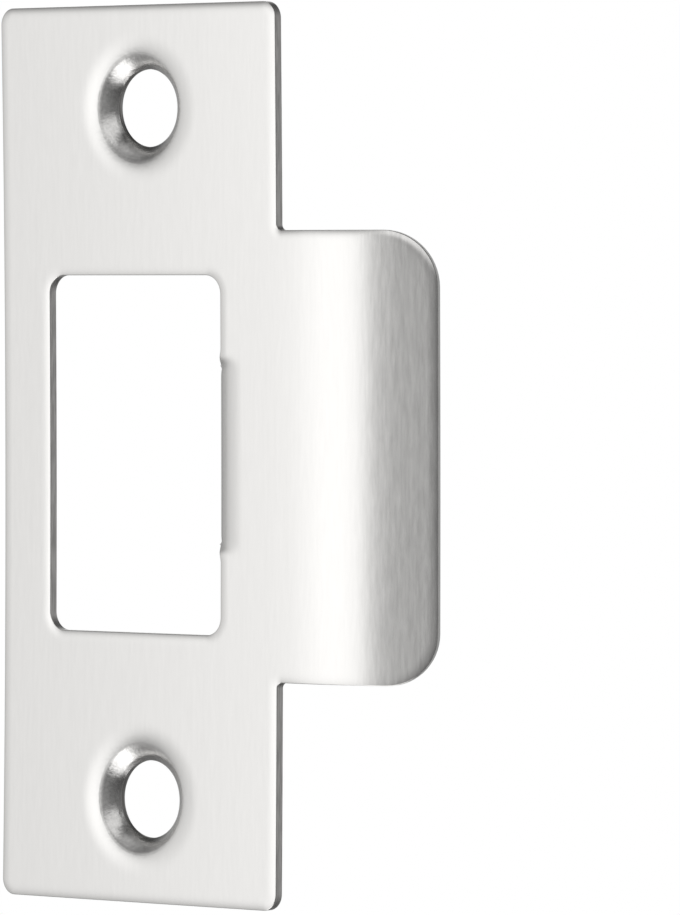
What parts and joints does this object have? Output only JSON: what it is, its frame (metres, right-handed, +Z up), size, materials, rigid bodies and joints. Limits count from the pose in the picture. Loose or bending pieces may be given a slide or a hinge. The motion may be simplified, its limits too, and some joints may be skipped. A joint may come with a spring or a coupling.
{
  "type": "door strike plate",
  "caption": "T-shaped door strike plate pressed from brushed stainless sheet, with a rectangular latch hole, a curved lip, a bent-back tang and countersunk screw holes.",
  "frame": {"origin": "on the flat back face that beds on the door frame, midway between the two screw holes", "axes": "+Z up along the door frame, -Y out of the face that the latch bolt meets, +X towards the lip"},
  "size_m": [0.042, 0.0057, 0.07],
  "materials": {
    "brushed_stainless": "fine brushing along the height, edges and countersinks a little brighter or darker where the press worked them"
  },
  "bodies": {
    "root": {"strike_plate": "brushed_stainless"}
  },
  "joints": []
}
